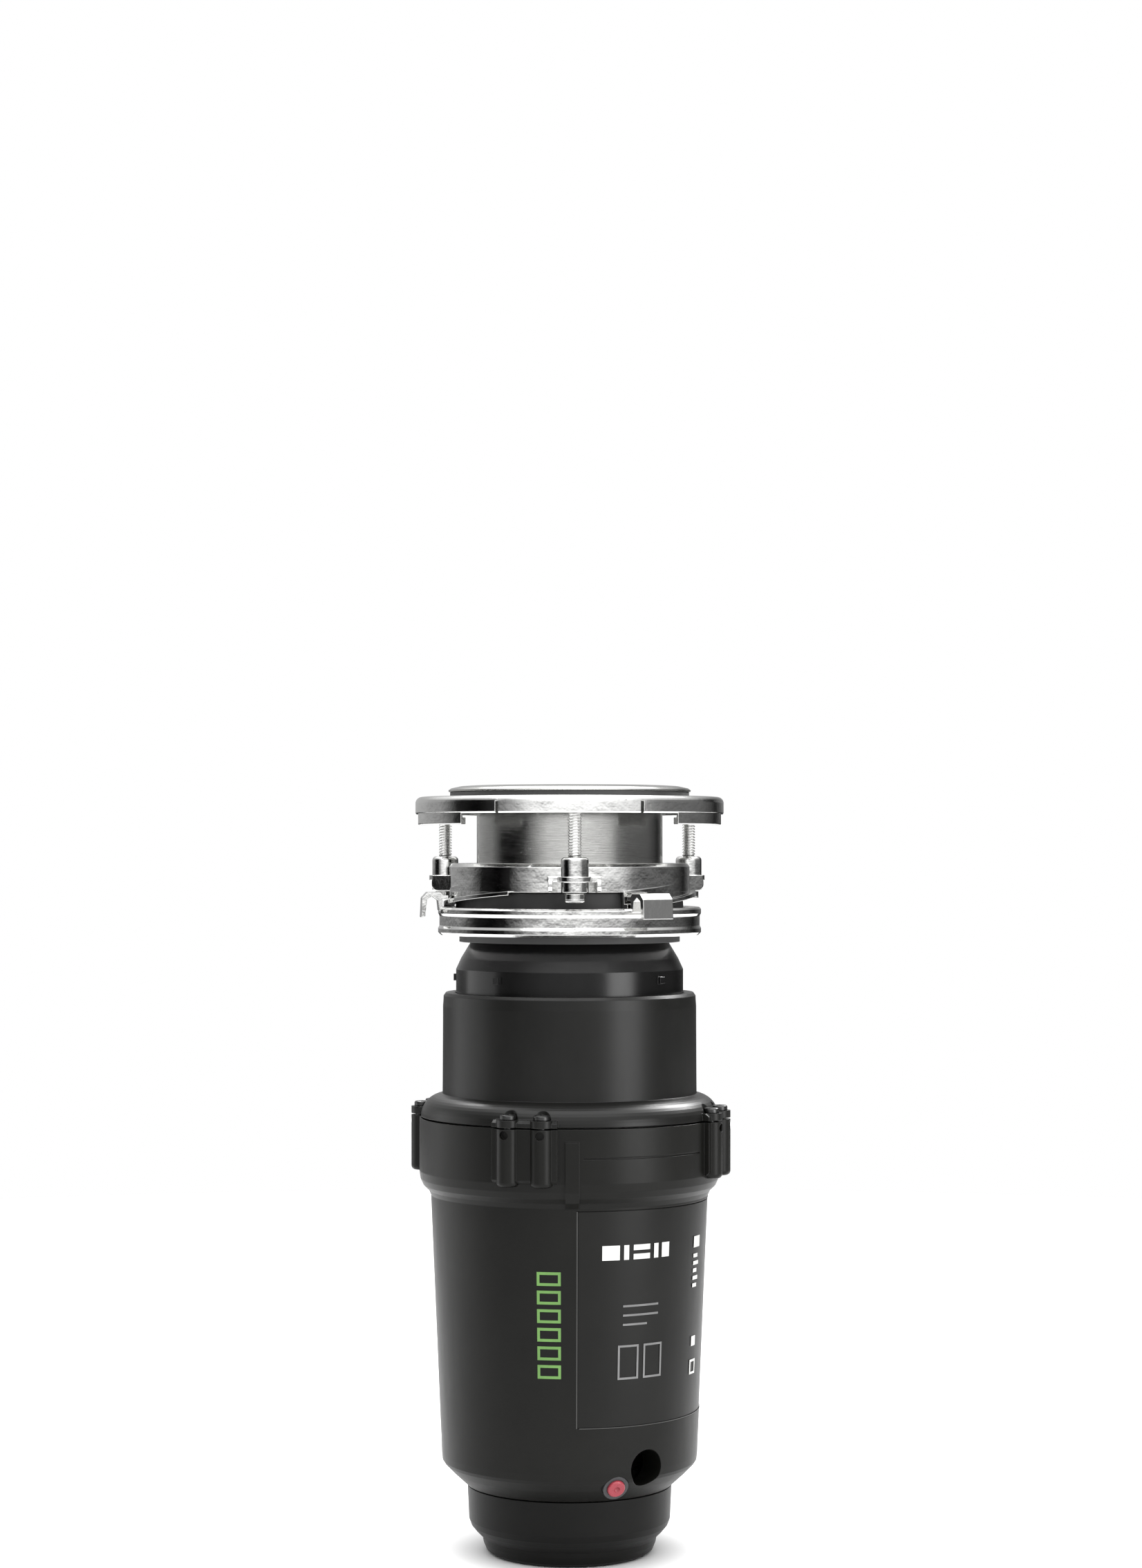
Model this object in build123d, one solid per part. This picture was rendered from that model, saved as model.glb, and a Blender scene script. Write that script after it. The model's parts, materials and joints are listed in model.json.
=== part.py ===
from build123d import *
from math import cos, radians, sin
import os

# Kitchen waste disposer with its three-screw sink mount, in millimetres.
# Z is up, the front is -Y, and the origin is the centre of the flat base.
# Azimuth is measured from the front and grows towards +X.

# Overall levels
CAP_TOP = 30.6
CHAMFER_TOP = 42.0
COLLAR_BOTTOM = 161.0
PARTING = 196.0
UPPER_SHELL_TOP = 252.0
NECK_TOP = 288.0
FLANGE_TOP = 345.0

# Overall radii
CAP_RADIUS = 46.1
SHELL_BOTTOM_RADIUS = 57.4
SHELL_TOP_RADIUS = 62.6
COLLAR_RADIUS = 67.8
UPPER_SHELL_RADIUS = 57.2
THROAT_RADIUS = 40.4
SLEEVE_RADIUS = 42.0
FLANGE_RADIUS = 54.8
BACKUP_RADIUS = 69.6

# Sink mount
SCREW_CIRCLE = 65.0
SCREW_RADIUS = 3.0
SCREW_AZIMUTHS = {"front": 2.0, "right": 122.0, "left": -118.0}
HOOK_AZIMUTHS = (-85.0, 35.0, 155.0)
LOBE_AZIMUTHS = (-60.0, 60.0, 180.0)
LOBE_HALF_ANGLE = 17.0

# Housing
LUG_AZIMUTHS = (-16.6, 73.4, 163.4, -106.6)
LUG_SCREW_SPREAD = 6.4
LUG_SCREW_CIRCLE = 68.2
OUTLET_AZIMUTH = 208.4
OUTLET_HEIGHT = 176.0
OUTLET_BORE = 17.5
OUTLET_END = 84.0
OUTLET_BOLT_SPACING = 58.0
DRAIN_RADIUS = 57.6
DRAIN_WALL_FOOT = 161.5
SPOUT_AZIMUTH = 145.0
SPOUT_HEIGHT = 234.0
SPOUT_RADIUS = 11.1
CORD_AZIMUTH = 35.8
CORD_HEIGHT = 46.0
CORD_BORE = 8.2
BUTTON_AZIMUTH = 21.5
BUTTON_RADIUS = 53.9
BUTTON_HEIGHT = 38.6
BUTTON_TILT = 25.0

# Grinding parts
TURNTABLE_LEVEL = 200.0
TURNTABLE_RADIUS = 46.0
PIVOT_CIRCLE = 30.0

# Motor
SHAFT_RADIUS = 6.0
STATOR_RADIUS = 50.0
STATOR_BOTTOM = 82.0
STATOR_TOP = 132.0
BOLT_AZIMUTHS = (60, 150, 240, 330)


def turned(points, rounds=0.0, start=None, end=None):
    """Solid turned about the vertical axis from (radius, height) points."""
    if rounds:
        outline = FilletPolyline(*points, radius=rounds, close=True)
    else:
        outline = Polyline(*points, close=True)
    face = Plane.XZ * make_face(outline)
    if start is None:
        return revolve(face, Axis.Z)
    return Rot(0, 0, start - 90) * revolve(face, Axis.Z, revolution_arc=end - start)


def place(radius, azimuth, height):
    """Location whose local X points outward and whose local Z points up."""
    angle = radians(azimuth)
    return Location((radius * sin(angle), -radius * cos(angle), height), (0, 0, azimuth - 90))


def rod(radius, low, high):
    """Upright cylinder about the local Z axis between two heights."""
    return Pos(0, 0, (low + high) / 2) * Cylinder(radius, high - low)


def tube(outer, inner, low, high):
    """Upright tube about the local Z axis between two heights."""
    return rod(outer, low, high) - rod(inner, low - 1, high + 1)


def spoke(radius, azimuth, height, inner, outer):
    """Cylinder that runs radially from one distance off the axis to another."""
    return place(0, azimuth, height) * Rot(0, 90, 0) * rod(radius, inner, outer)


def around(shape_at, azimuths):
    """The same shape at several azimuths, as a list."""
    return [shape_at(azimuth) for azimuth in azimuths]


def joined(shapes):
    """Several shapes fused one after the other."""
    total = shapes[0]
    for shape in shapes[1:]:
        total = total + shape
    return total


def group(shapes):
    """Separate identical solids kept in one node."""
    return Compound(children=[shape.solids()[0] for shape in shapes])


# ---------------------------------------------------------------- sink mount

def sink_flange():
    """Stainless strainer flange with the long sleeve that goes through the sink."""
    body = turned(
        [
            (THROAT_RADIUS, 299.5), (SLEEVE_RADIUS, 299.5), (SLEEVE_RADIUS, 340.0),
            (43.8, 342.4), (54.6, 342.4), (FLANGE_RADIUS, 343.0), (53.6, 343.9),
            (49.5, 344.8), (45.6, FLANGE_TOP), (42.6, 344.0), (41.0, 341.6),
            (THROAT_RADIUS, 338.4),
        ]
    )
    groove = tube(SLEEVE_RADIUS + 1, SLEEVE_RADIUS - 0.7, 305.0, 308.2)
    return body - groove


def flange_gasket():
    """Fibre washer between the flange and the sink."""
    return turned([(44.2, 340.1), (54.0, 340.1), (54.0, 342.35), (44.2, 342.35)], 0.4)


def backup_ring():
    """Pressed steel ring with a rounded shoulder that the three screws push up against the sink."""
    ring = turned(
        [
            (43.0, 338.4), (68.4, 338.4), (68.4, 332.2), (BACKUP_RADIUS - 0.4, 332.2),
            (BACKUP_RADIUS, 332.8), (BACKUP_RADIUS, 340.0), (43.0, 340.0),
        ]
    )
    shoulder = ring.edges().group_by(Axis.Z)[-1].sort_by(SortBy.RADIUS)[-1]
    ring = fillet(shoulder, 2.8)
    ring = joined([ring] + around(lobe, LOBE_AZIMUTHS))
    for azimuth in (-27, 27, 93, 147, -147, -93):
        ring = ring - place(BACKUP_RADIUS, azimuth, 334.0) * Box(4.0, 1.4, 7.0)
    return ring


def lobe(azimuth):
    """Deeper stretch of the backup ring's rim, with its lower edge folded inwards."""
    return turned(
        [
            (66.6, 327.4), (69.5, 327.4), (69.5, 336.0), (68.5, 336.0), (68.5, 330.4),
            (66.6, 330.4),
        ],
        0.45, azimuth - LOBE_HALF_ANGLE, azimuth + LOBE_HALF_ANGLE,
    )


def snap_ring():
    """Split wire ring in the sleeve's groove that carries the mounting ring."""
    ring = turned([(41.4, 305.2), (45.4, 305.2), (45.4, 308.0), (41.4, 308.0)], 0.8)
    return ring - place(43, 78, 306.6) * Box(8, 6, 6)


def upper_mounting_ring():
    """Pressed ring with three ramps below and three threaded ears for the screws."""
    wall = turned(
        [
            (43.0, 308.2), (51.4, 308.2), (52.3, 307.3), (52.3, 297.6), (54.2, 297.6),
            (54.2, 308.6), (53.2, 310.2), (43.0, 310.2),
        ]
    )
    ring = joined([wall] + around(ramp, HOOK_AZIMUTHS) + around(ear, SCREW_AZIMUTHS.values()))
    for azimuth in SCREW_AZIMUTHS.values():
        ring = ring - place(SCREW_CIRCLE, azimuth, 0) * rod(SCREW_RADIUS + 0.06, 290, 320)
    return ring


def ramp(hook):
    """Sloping flange that a hook of the lower ring slides along."""
    middle = hook + 24
    arc = turned(
        [(52.3, 293.4), (57.0, 293.4), (57.0, 295.2), (54.2, 295.2), (54.2, 301.0), (52.3, 301.0)],
        0, 90 - 33, 90 + 33,
    )
    tilted = Pos(0, 0, 295.2) * Rot(5.5, 0, 0) * Pos(0, 0, -295.2) * arc
    return Rot(0, 0, middle - 90) * tilted


def ear(azimuth):
    """Rounded ear with folded side flanges and a tall domed boss for the thread."""
    plate = place(0, azimuth, 303.4) * (
        Pos(58, 0, 0) * Box(14, 23, 2.2) + Pos(SCREW_CIRCLE, 0, 0) * Cylinder(7.4, 2.2)
    )
    boss = rod(6.0, 297.8, 313.2)
    boss = fillet(boss.edges().group_by(Axis.Z)[-1], 1.8)
    flanges = [
        place(0, azimuth, 0) * Pos(59.5, side * 10.6, 301.0) * fillet(
            Box(12, 1.8, 7.0).edges().filter_by(Axis.Y).sort_by(Axis.X)[-2:], 3.0)
        for side in (-1, 1)
    ]
    return joined([plate, place(SCREW_CIRCLE, azimuth, 0) * boss] + flanges)


def mounting_screw(azimuth):
    """Slotted mounting screw that is turned from below."""
    shank = rod(SCREW_RADIUS, 297.0, 338.3)
    shank = chamfer(shank.edges().sort_by(Axis.Z)[-1], 0.8)
    head = rod(4.6, 293.4, 297.4)
    head = fillet(head.edges().group_by(Axis.Z)[0], 0.6)
    slot = Pos(0, 0, 293.8) * Box(12, 1.2, 2.0)
    return place(SCREW_CIRCLE, azimuth, 0) * (shank + head - slot)


def lower_mounting_ring():
    """Ring that turns on the neck and hooks over the ramps of the upper ring."""
    band = turned(
        [
            (50.4, 278.0), (58.2, 278.0), (59.4, 279.2), (59.4, 281.0), (58.8, 282.2),
            (58.8, 286.6), (59.4, 287.8), (59.4, 289.6), (58.6, 290.5), (57.6, 290.5),
            (57.3, 289.6), (57.3, 280.2), (56.8, 279.6), (50.4, 279.6),
        ]
    )
    return joined([band] + around(hook, HOOK_AZIMUTHS))


def hook(azimuth):
    """Folded hook with an outer grip and an inner lip over the ramp."""
    outline = Polyline(
        (57.9, 289.0), (59.4, 289.0), (59.9, 293.6), (62.4, 295.4), (64.8, 293.8),
        (65.6, 286.4), (67.4, 286.0), (67.0, 294.6), (64.6, 297.2), (58.6, 297.2),
        (57.6, 295.8), (55.2, 295.8), (55.2, 294.2), (57.9, 294.2), close=True,
    )
    face = Plane.XZ * make_face(outline)
    return place(0, azimuth, 0) * Pos(0, 8, 0) * extrude(face, 16)


def mounting_gasket():
    """Rubber cushion that seals the neck to the bottom of the sleeve."""
    return turned(
        [
            (44.7, 274.9), (49.8, 274.9), (49.8, 280.0), (56.2, 280.0), (56.9, 281.0),
            (56.9, 287.2), (55.6, 288.6), (51.6, 288.6), (51.0, 297.0), (48.6, 299.2),
            (41.2, 299.2), (41.2, NECK_TOP + 0.2), (46.5, NECK_TOP + 0.2),
            (46.5, 282.8), (44.7, 282.8),
        ]
    )


def splash_guard():
    """Removable rubber guard with eight flaps around a small centre hole."""
    cup = turned(
        [
            (7.0, 289.6), (38.0, 288.2), (40.0, 288.2), (40.0, 299.0), (38.4, 299.0),
            (38.2, 291.0), (36.5, 290.2), (7.0, 291.4),
        ]
    )
    for index in range(8):
        cup = cup - place(0, index * 45 + 22.5, 290) * Pos(20, 0, 0) * Box(30, 0.8, 8)
    return cup


# ------------------------------------------------------- grinding chamber

def grind_chamber():
    """Inner container with the neck at the top and the dishwasher spout."""
    body = turned(
        [
            (50.4, 200.9), (57.4, 200.9), (57.4, 203.2), (51.3, 203.2), (51.3, 262.5),
            (49.0, 267.5), (46.0, 272.5), (44.5, 275.0), (44.5, 283.0), (46.3, 283.0),
            (46.3, NECK_TOP), (38.6, NECK_TOP), (38.6, 281.0), (48.6, 262.0), (48.6, 208.2),
            (50.4, 208.2),
        ]
    )
    spout = spoke(SPOUT_RADIUS, SPOUT_AZIMUTH, SPOUT_HEIGHT, 58.0, 84.0)
    root = spoke(SPOUT_RADIUS + 1.5, SPOUT_AZIMUTH, SPOUT_HEIGHT, 47.0, 60.0)
    body = body + (spout + root - rod(49.0, 200, 280))
    body = body - spoke(SPOUT_RADIUS - 2.4, SPOUT_AZIMUTH, SPOUT_HEIGHT, 40.0, 90.0)
    nubs = [place(51.4, azimuth, 258.6) * Box(2.4, 3.4, 3.0) for azimuth in (-38.5, 51.5, 141.5, -95)]
    return joined([body] + nubs)


def inlet_plug():
    """Knock-out disc that closes the dishwasher spout until it is used."""
    return spoke(SPOUT_RADIUS - 2.5, SPOUT_AZIMUTH, SPOUT_HEIGHT, 52.0, 54.0)


def grind_ring():
    """Stainless shredder ring with teeth windows next to the turntable."""
    ring = tube(48.4, 46.9, 197.4, 226.0)
    lip = tube(50.2, 46.9, 206.4, 208.0)
    ring = ring + lip
    for index in range(20):
        ring = ring - place(47.6, index * 18, 200.4) * Box(6, 4.4, 7.0)
    for index in range(10):
        ring = ring - place(47.6, index * 36 + 9, 216) * Box(6, 2.0, 10)
    return ring


def chamber_seal():
    """Flat rubber seal between the container and the drain chamber."""
    return tube(57.0, 51.0, 199.7, 200.8)


def drain_chamber():
    """Wall of the lower bowl, with the spout that takes the water to the outlet."""
    wall = turned(
        [
            (DRAIN_RADIUS - 3.0, DRAIN_WALL_FOOT), (DRAIN_RADIUS, DRAIN_WALL_FOOT), (DRAIN_RADIUS, 196.4),
            (60.5, 196.4), (60.5, 199.6), (51.0, 199.6), (51.0, 197.0), (DRAIN_RADIUS - 3.0, 196.4),
        ]
    )
    pipe = spoke(OUTLET_BORE + 3.0, OUTLET_AZIMUTH, OUTLET_HEIGHT, 50.0, OUTLET_END - 1)
    wall = wall + (pipe - rod(DRAIN_RADIUS - 3.0, 150, 205))
    wall = wall + outlet_flange()
    wall = wall - spoke(OUTLET_BORE, OUTLET_AZIMUTH, OUTLET_HEIGHT, 45.0, OUTLET_END + 1)
    for side in (-1, 1):
        height = OUTLET_HEIGHT + side * OUTLET_BOLT_SPACING / 2
        wall = wall - spoke(3.2, OUTLET_AZIMUTH, height, 72.0, OUTLET_END + 1)
    return wall


def upper_end_bracket():
    """Upper end plate of the motor: the floor of the lower bowl, with the hub of the upper bearing."""
    plate = turned(
        [
            (12.0, 157.0), (DRAIN_RADIUS - 1.0, 157.0), (DRAIN_RADIUS, 158.0),
            (DRAIN_RADIUS, DRAIN_WALL_FOOT), (DRAIN_RADIUS - 3.0, DRAIN_WALL_FOOT),
            (DRAIN_RADIUS - 4.0, 160.4), (24.0, 162.6), (17.5, 172.0), (17.5, 189.0), (12.0, 189.0),
        ]
    )
    return plate - spoke(OUTLET_BORE + 3.0, OUTLET_AZIMUTH, OUTLET_HEIGHT, 50.0, OUTLET_END)


def outlet_flange():
    """Oval two-bolt flange around the discharge bore."""
    half = OUTLET_BOLT_SPACING / 2
    outline = make_hull(
        [
            *Circle(OUTLET_BORE + 5.5).edges(),
            *(Pos(-half, 0) * Circle(7.5)).edges(),
            *(Pos(half, 0) * Circle(7.5)).edges(),
        ]
    )
    plate = extrude(outline, 6.0)
    return place(OUTLET_END - 6.0, OUTLET_AZIMUTH, OUTLET_HEIGHT) * Rot(0, 90, 0) * plate


def shaft_seal():
    """Lip seal above the upper bearing."""
    return tube(11.9, SHAFT_RADIUS + 0.08, 182.0, 188.6)


def upper_bearing():
    """Sintered sleeve bearing in the hub of the upper end bracket."""
    return tube(11.9, SHAFT_RADIUS + 0.04, 160.0, 181.0)


def turntable():
    """Stainless grinding disc with its hub, low ribs and drain holes."""
    disc = rod(TURNTABLE_RADIUS, TURNTABLE_LEVEL, TURNTABLE_LEVEL + 2.2)
    hub = rod(11.0, 190.2, TURNTABLE_LEVEL + 0.5)
    plate = disc + hub - rod(SHAFT_RADIUS, 180, 210)
    for azimuth in (90, 270):
        plate = plate - place(PIVOT_CIRCLE, azimuth, 0) * rod(2.6, 190, 210)
    for index in range(12):
        plate = plate - place(42.0, index * 30 + 15, 0) * rod(1.8, 195, 205)
    return plate


def turntable_nut():
    """Hexagon nut that holds the turntable on the shaft."""
    nut = extrude(RegularPolygon(8.6, 6), 6.0) - Cylinder(SHAFT_RADIUS, 20)
    return Pos(0, 0, TURNTABLE_LEVEL + 2.25) * nut


def impeller(azimuth):
    """Swivelling cutter lug with a raised striking block."""
    arm = rod(7.0, 0, 2.4) + Pos(6.0, 0, 1.2) * Box(12, 12, 2.4)
    block = Pos(10.2, 0, 5.2) * Box(6.4, 12, 10.4)
    block = fillet(block.edges().filter_by(Axis.Y), 1.4)
    lug = arm + block - rod(3.06, -1, 6)
    return place(PIVOT_CIRCLE, azimuth, TURNTABLE_LEVEL + 2.5) * lug


def impeller_rivets():
    """Shouldered rivets that the impellers turn on."""
    base = TURNTABLE_LEVEL
    rivet = rod(2.55, base - 1.4, base + 2.2) + rod(3.0, base + 2.25, base + 5.3)
    rivet = rivet + rod(2.55, base + 2.1, base + 2.4)
    rivet = rivet + rod(5.2, base + 5.2, base + 7.2) + rod(4.6, base - 2.0, base - 0.1)
    rivet = fillet(rivet.edges().group_by(Axis.Z)[-1], 1.2)
    return group([place(PIVOT_CIRCLE, azimuth, 0) * rivet for azimuth in (90, 270)])


# ------------------------------------------------------------------- motor

def motor_shaft():
    """Ground steel shaft with a threaded top end."""
    shaft = rod(SHAFT_RADIUS - 0.02, 52.5, 211.0)
    return chamfer(shaft.edges().group_by(Axis.Z)[-1], 1.0)


def rotor_core():
    """Laminated steel rotor."""
    return tube(29.2, SHAFT_RADIUS, STATOR_BOTTOM, STATOR_TOP)


def rotor_end_rings():
    """Cast aluminium end rings with cooling fins."""
    rings = []
    for low, fins_low in ((STATOR_TOP + 0.05, STATOR_TOP + 7.5), (STATOR_BOTTOM - 8.05, STATOR_BOTTOM - 13.5)):
        ring = tube(28.6, 16.0, low, low + 8.0)
        for index in range(8):
            ring = ring + place(23.0, index * 45, fins_low + 3.0) * Box(9.0, 2.0, 6.0)
        rings.append(ring)
    return group(rings)


def start_switch():
    """Centrifugal switch plate that opens the start winding."""
    plate = tube(19.0, SHAFT_RADIUS, 62.6, 64.4) + tube(8.5, SHAFT_RADIUS, 62.6, 68.4)
    weights = [place(15.0, azimuth, 66.2) * Box(5, 12, 3.8) for azimuth in (0, 180)]
    return joined([plate] + weights)


def stator_core():
    """Laminated stator stack with twenty-four winding slots."""
    core = tube(STATOR_RADIUS, 29.8, STATOR_BOTTOM, STATOR_TOP)
    for index in range(24):
        core = core - place(37.2, index * 15, 107) * Box(9.6, 4.2, 60)
        core = core - place(31.2, index * 15, 107) * Box(4.0, 1.6, 60)
    for azimuth in BOLT_AZIMUTHS:
        core = core - place(46.6, azimuth, 107) * Cylinder(2.3, 60)
    return core


def stator_windings():
    """Copper coils that fill the slots, with the end turns above and below."""
    top = turned([(32.6, 132.4), (42.4, 132.4), (43.4, 136.0), (42.2, 148.6), (35.0, 150.2),
                  (32.0, 146.0)], 1.5)
    bottom = turned([(32.6, 81.6), (42.4, 81.6), (43.4, 78.0), (42.2, 67.4), (35.0, 65.8),
                     (32.0, 70.0)], 1.5)
    coils = top + bottom
    for index in range(24):
        coils = coils + place(37.2, index * 15, 107) * Box(8.8, 3.6, 52)
    return coils


def lower_end_bracket():
    """Bearing bracket under the stator, held by the through bolts."""
    plate = turned(
        [
            (10.0, 50.0), (15.0, 50.0), (16.5, 57.6), (49.5, 57.6), (49.5, 81.9),
            (45.0, 81.9), (45.0, 61.0), (10.0, 61.0),
        ]
    )
    for azimuth in BOLT_AZIMUTHS:
        plate = plate - place(46.6, azimuth, 70) * Cylinder(2.3, 40)
    for index in range(4):
        plate = plate - place(30, index * 90, 59) * Box(14, 12, 10)
    return plate


def lower_bearing():
    """Sintered sleeve bearing in the bracket."""
    return tube(9.9, SHAFT_RADIUS + 0.04, 52.0, 61.0)


def thrust_washer():
    """Washer that takes the weight of the rotor."""
    return tube(9.4, SHAFT_RADIUS + 0.3, 61.1, 62.5)


def through_bolts():
    """Four long bolts that hold the stator under the drain chamber."""
    bolts = []
    for azimuth in BOLT_AZIMUTHS:
        bolt = rod(2.2, 56.0, 156.9) + Pos(0, 0, 54.0) * extrude(RegularPolygon(4.4, 6), 3.5)
        bolts.append(place(46.6, azimuth, 0) * bolt)
    return group(bolts)


def start_relay():
    """Relay box beside the lower bracket."""
    box = fillet(Box(16, 24, 18).edges().filter_by(Axis.Z), 1.5)
    tabs = [Pos(0, side * 6, -10.5) * Box(0.8, 6, 5) for side in (-1, 1)]
    return place(33, -120, 43.6) * joined([box] + tabs)


def capacitor():
    """Start capacitor lying across the bottom of the motor."""
    can = fillet(rod(8.0, -15, 15).edges(), 1.0)
    return place(30, 120, 43.0) * Rot(90, 0, 0) * can


def overload_protector():
    """Thermal cut-out whose threaded neck sits in the chamfer of the shell."""
    neck = rod(4.6, -5.6, 0.0) + rod(5.8, -2.0, 1.2)
    body = Pos(-1, -3.25, -9.25) * Box(8, 11.5, 7.5)
    cavity = rod(4.06, -5.4, 2.0)
    return button_frame() * (neck + body - cavity)


def button_frame():
    """Location on the chamfer whose local Z points outward and a little down."""
    return place(BUTTON_RADIUS, BUTTON_AZIMUTH, BUTTON_HEIGHT) * Rot(0, 90 + BUTTON_TILT, 0)


def reset_button():
    """Red push button of the thermal cut-out."""
    cap = rod(4.0, -3.4, 2.6)
    cap = fillet(cap.edges().group_by(Axis.Z)[-1], 0.8)
    dish = Pos(0, 0, 3.1) * Sphere(1.5)
    return button_frame() * (cap - dish)


# ------------------------------------------------------------------ housing

def bottom_cap():
    """Round base cup that closes the wiring space."""
    cup = turned(
        [
            (0.0, 0.0), (35.6, 0.0), (37.6, 1.4), (38.9, 4.4), (39.4, 7.0), (42.4, 10.0),
            (44.4, 12.4), (45.4, 15.2), (CAP_RADIUS, CAP_TOP - 0.2), (43.6, CAP_TOP - 0.2),
            (43.0, 15.6), (37.0, 9.6), (36.4, 4.0), (0.0, 3.0),
        ]
    )
    posts = [place(33.0, azimuth, 0) * rod(5.0, 2.0, 26.0) for azimuth in (60, 180, 300)]
    cup = joined([cup] + posts)
    for azimuth in (60, 180, 300):
        cup = cup - place(33.0, azimuth, 0) * (rod(2.2, -1, 30) + rod(4.0, -1, 8.7))
    return cup + place(14, 30, 0) * tube(4.6, 2.3, 2.5, 8.9)


def bottom_screws():
    """Three screws driven up through the posts of the base cup."""
    screws = []
    for azimuth in (60, 180, 300):
        screw = rod(2.0, 8.0, 36.0) + rod(3.7, 6.1, 8.6)
        screw = screw - Pos(0, 0, 6.5) * Box(5, 0.9, 1.6) - Pos(0, 0, 6.5) * Box(0.9, 5, 1.6)
        screws.append(place(33.0, azimuth, 0) * screw)
    return group(screws)


def ground_screw():
    """Earth screw on its boss in the base cup."""
    screw = rod(2.2, 4.2, 9.0) + rod(4.4, 9.0, 12.0)
    return place(14, 30, 0) * (screw - Pos(0, 0, 12) * Box(6, 1, 1.6))


def motor_shell():
    """Lower housing with the chamfer, the collar, the lugs and the cord inlet."""
    shell = turned(
        [
            (43.2, 31.0), (46.5, 31.0), (52.6, 36.6), (56.4, 40.4), (SHELL_BOTTOM_RADIUS, CHAMFER_TOP),
            (57.7, 45.0), (SHELL_TOP_RADIUS, COLLAR_BOTTOM), (63.6, 163.2), (66.0, 165.6),
            (67.3, 168.4), (COLLAR_RADIUS, 172.0), (COLLAR_RADIUS, 195.7), (65.0, 195.7),
            (65.0, 171.0), (62.6, 167.0), (60.0, 162.4), (59.8, 160.0), (55.0, 45.4),
            (54.4, 42.4), (45.2, 33.2), (43.2, 33.2),
        ]
    )
    rib = turned([(62.0, 159.4), (63.4, 161.0), (66.8, 163.8), (68.7, 168.4), (68.7, 190.0),
                  (66.6, 191.0)], 0, -1.6, 3.6)
    shell = joined([shell, rib] + around(lower_lug, LUG_AZIMUTHS))
    shell = shell + spoke(CORD_BORE + 2.0, CORD_AZIMUTH, CORD_HEIGHT, 44.0, 56.0)
    shell = joined([shell] + around(bottom_boss, (60, 180, 300)))
    shell = shell - outside_of_chamfer()
    shell = shell - spoke(CORD_BORE, CORD_AZIMUTH, CORD_HEIGHT, 40.0, 70.0)
    shell = shell - button_frame() * (rod(4.8, -8.0, 0.0) + rod(6.0, -2.1, 9.0))
    shell = shell - button_frame() * Pos(-1, -3.25, -9.1) * Box(8.6, 12.1, 8.0)
    shell = shell - label_recess()
    shell = shell - turned([(67.3, 182.6), (69.0, 182.6), (69.0, 183.4), (67.3, 183.4)], 0, 5, 58)
    shell = shell - spoke(OUTLET_BORE + 3.6, OUTLET_AZIMUTH, OUTLET_HEIGHT, 56.0, 90.0)
    for azimuth in lug_screw_azimuths():
        shell = shell - place(LUG_SCREW_CIRCLE, azimuth, 0) * rod(1.7, 176, 200)
        shell = shell - spoke(1.9, azimuth, 193.2, 71.0, 80.0)
    return shell


def outside_of_chamfer():
    """Everything outside the lower shell between its bottom edge and the wall."""
    return turned(
        [(46.5, 30.0), (46.5, 31.0), (52.6, 36.6), (56.4, 40.4), (SHELL_BOTTOM_RADIUS, CHAMFER_TOP),
         (57.7, 45.0), (58.2, 57.0), (75.0, 57.0), (75.0, 30.0)]
    )


def bottom_boss(azimuth):
    """Pillar that takes one of the screws of the base cup."""
    pillar = place(33.0, azimuth, 0) * tube(5.0, 2.05, 26.2, 40.0)
    arm = place(33.0, azimuth, 0) * Pos(8.6, 0, 32.2) * Box(9.6, 5, 2.0)
    return pillar + arm


def lug_screw_azimuths():
    """Azimuths of the eight housing screws, two in each lug."""
    return [lug + side * LUG_SCREW_SPREAD for lug in LUG_AZIMUTHS for side in (-1, 1)]


def lower_lug(azimuth):
    """Pair of rounded posts on a raised pad."""
    pad = turned([(66.0, 172.4), (69.0, 172.4), (70.2, 173.6), (70.2, 195.7), (66.0, 195.7)],
                 0, azimuth - 12.2, azimuth + 12.2)
    posts = []
    for side in (-1, 1):
        post = rod(5.0, 170.6, 195.7)
        post = fillet(post.edges().group_by(Axis.Z)[0], 2.0)
        posts.append(place(LUG_SCREW_CIRCLE, azimuth + side * LUG_SCREW_SPREAD, 0) * post)
    lug = joined([pad] + posts)
    return lug - rod(65.0, 160, 200)


def upper_lug(azimuth):
    """Ears of the upper shell that sit on the posts."""
    pad = turned([(62.0, 196.4), (70.2, 196.4), (70.2, 198.2), (68.4, 199.6), (62.0, 199.6)],
                 0, azimuth - 12.2, azimuth + 12.2)
    ears = [
        place(LUG_SCREW_CIRCLE, azimuth + side * LUG_SCREW_SPREAD, 0) * rod(5.0, 196.4, 199.6)
        for side in (-1, 1)
    ]
    return joined([pad] + ears)


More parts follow.
